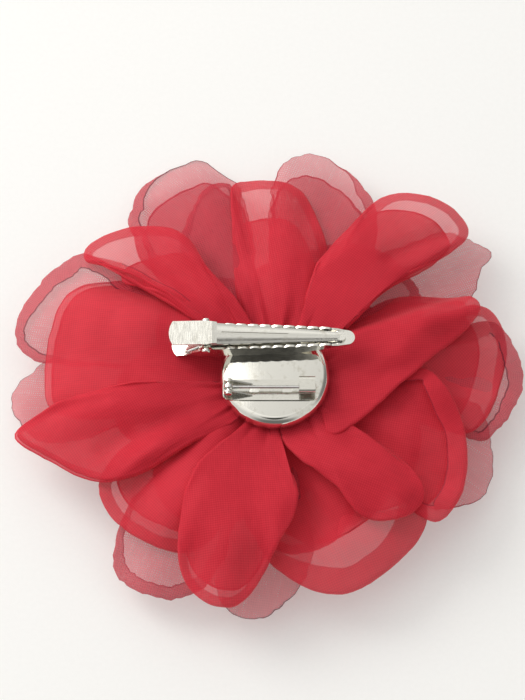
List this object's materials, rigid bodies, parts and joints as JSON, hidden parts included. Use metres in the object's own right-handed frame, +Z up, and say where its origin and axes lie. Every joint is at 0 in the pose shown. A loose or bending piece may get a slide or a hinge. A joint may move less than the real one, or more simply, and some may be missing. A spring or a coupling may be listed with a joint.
{
  "type": "flower hair clip",
  "caption": "Layered chiffon flower on a round metal disc with a toothed spring clip and a hinged brooch pin.",
  "frame": {"origin": "on the surface the flower lies on face down, under the centre of its outline", "axes": "+Z up from the flower's face to the clip, +X along the clip towards its tip, +Y from brooch to clip"},
  "size_m": [0.1309, 0.1253, 0.0315],
  "materials": {
    "chiffon_back": "two close layers of red chiffon, matt",
    "chiffon_sheer": "single sheer red chiffon, singed edge",
    "chiffon_face": "red chiffon, matt",
    "chiffon_core": "bundled chiffon, dark red",
    "thread": "red sewing thread",
    "felt": "red felt",
    "glue": "set hot-melt glue",
    "nickel_disc": "bright nickel plate",
    "nickel_brooch": "bright nickel plate",
    "needle_steel": "plated steel wire",
    "nickel_clip": "bright nickel plate, brushed on the thumb pad",
    "spring_steel": "spring wire"
  },
  "bodies": {
    "flower": {"back_petal_01": "chiffon_back", "back_petal_02": "chiffon_back", "back_petal_03": "chiffon_back", "back_petal_04": "chiffon_back", "back_petal_05": "chiffon_back", "back_petal_06": "chiffon_back", "back_petal_07": "chiffon_back", "back_petal_08": "chiffon_back", "back_petal_09": "chiffon_back", "back_petal_10": "chiffon_back", "back_petal_11": "chiffon_back", "back_petal_12": "chiffon_back", "backing_disc": "nickel_disc", "binding_thread": "thread", "brooch_bar": "nickel_brooch", "bud_petal_01": "chiffon_face", "bud_petal_02": "chiffon_face", "bud_petal_03": "chiffon_face", "clip_lower_jaw": "nickel_clip", "clip_pivot_pin": "nickel_clip", "clip_torsion_spring": "spring_steel", "face_petal_01": "chiffon_face", "face_petal_02": "chiffon_face", "face_petal_03": "chiffon_face", "face_petal_04": "chiffon_face", "face_petal_05": "chiffon_face", "face_petal_06": "chiffon_face", "face_petal_07": "chiffon_face", "felt_pad": "felt", "gathered_core": "chiffon_core", "glue_bed": "glue", "inner_petal_01": "chiffon_face", "inner_petal_02": "chiffon_face", "inner_petal_03": "chiffon_face", "inner_petal_04": "chiffon_face", "inner_petal_05": "chiffon_face", "sheer_petal_01": "chiffon_sheer", "sheer_petal_02": "chiffon_sheer", "sheer_petal_03": "chiffon_sheer", "sheer_petal_04": "chiffon_sheer", "sheer_petal_05": "chiffon_sheer", "sheer_petal_06": "chiffon_sheer", "sheer_petal_07": "chiffon_sheer", "sheer_petal_08": "chiffon_sheer", "sheer_petal_09": "chiffon_sheer", "sheer_petal_10": "chiffon_sheer", "sheer_petal_11": "chiffon_sheer", "sheer_petal_12": "chiffon_sheer"},
    "clip_lever": {"clip_upper_lever": "nickel_clip"},
    "brooch_hinge_rivet": {"hinge_rivet": "nickel_brooch"},
    "brooch_needle": {"brooch_needle": "needle_steel"}
  },
  "joints": [
    {"name": "clip_open", "type": "hinge", "parent": "flower", "child": "clip_lever", "pos_m": [-0.0155, 0.0054, 0.029], "axis": [0, -1, 0], "range_deg": [0, 30], "stiffness_Nm_per_rad": 0.02, "springref_deg": -1.72, "deforming": ["clip_torsion_spring"]},
    {"name": "brooch_swing", "type": "hinge", "parent": "flower", "child": "brooch_hinge_rivet", "pos_m": [-0.0097, -0.0078, 0.027], "axis": [0, -1, 0], "range_deg": [0, 95]},
    {"name": "needle_flex", "type": "hinge", "parent": "brooch_hinge_rivet", "child": "brooch_needle", "pos_m": [-0.0097, -0.0078, 0.027], "axis": [0, 0, 1], "range_deg": [-10, 0], "stiffness_Nm_per_rad": 0.0005}
  ]
}
